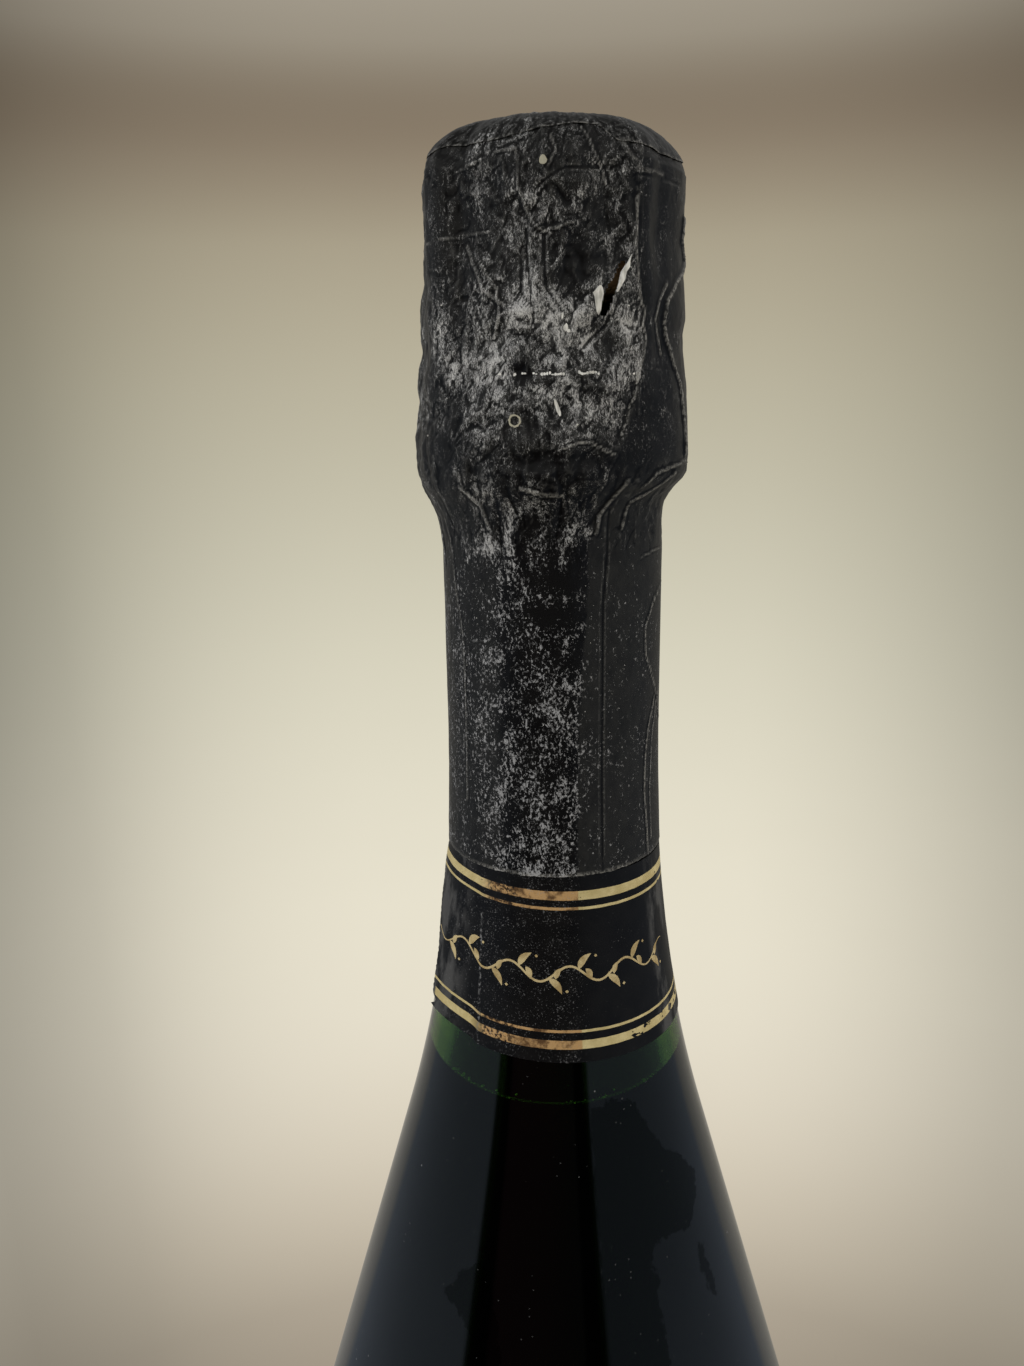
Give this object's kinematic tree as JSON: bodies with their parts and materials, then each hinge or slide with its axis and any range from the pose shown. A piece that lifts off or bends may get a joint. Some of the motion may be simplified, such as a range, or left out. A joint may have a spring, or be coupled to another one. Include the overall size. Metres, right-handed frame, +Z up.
{
  "type": "sparkling wine bottle",
  "caption": "Sparkling wine bottle, corked and wired under black foil; foil hood, wire hood and cork each lift off upwards.",
  "frame": {"origin": "centre of the base, on the surface that the bottle stands on", "axes": "+Z up along the bottle's axis; the fronts of the labels face -Y, and +X is to the right of someone looking at them"},
  "size_m": [0.09, 0.091, 0.322],
  "materials": {
    "green_glass": "clear dark green, glossy",
    "wine": "clear, dark red, nearly black at the body's depth",
    "agglomerated_cork": "ground cork grains bonded together, matte",
    "natural_cork": "natural cork, matte, with pores",
    "cap_enamel": "black lacquer on tinplate",
    "steel_wire": "galvanised steel wire, dull grey",
    "black_foil": "black lacquered foil, creased and scuffed",
    "black_paper": "semi-gloss black paper with gold lines"
  },
  "bodies": {
    "bottle": {"glass_bottle": "green_glass", "wine": "wine", "foil_skirt": "black_foil", "neck_label": "black_paper", "front_label": "black_paper", "back_label": "black_paper"},
    "cork": {"cork_body": "agglomerated_cork", "cork_disc_upper": "natural_cork", "cork_disc_lower": "natural_cork"},
    "cage": {"metal_cap": "cap_enamel", "frame_wire_1": "steel_wire", "frame_wire_2": "steel_wire", "frame_wire_3": "steel_wire", "frame_wire_4": "steel_wire", "belt_wire": "steel_wire"},
    "hood": {"foil_hood": "black_foil", "foil_top_disc": "black_foil"}
  },
  "joints": [
    {"name": "cork_pull", "type": "slide", "parent": "bottle", "child": "cork", "axis": [0, 0, 1], "range_m": [0, 0.04]},
    {"name": "cage_lift", "type": "slide", "parent": "cork", "child": "cage", "axis": [0, 0, 1], "range_m": [0, 0.05], "deforming": ["belt_wire"]},
    {"name": "hood_lift", "type": "slide", "parent": "cage", "child": "hood", "axis": [0, 0, 1], "range_m": [0, 0.04]}
  ]
}
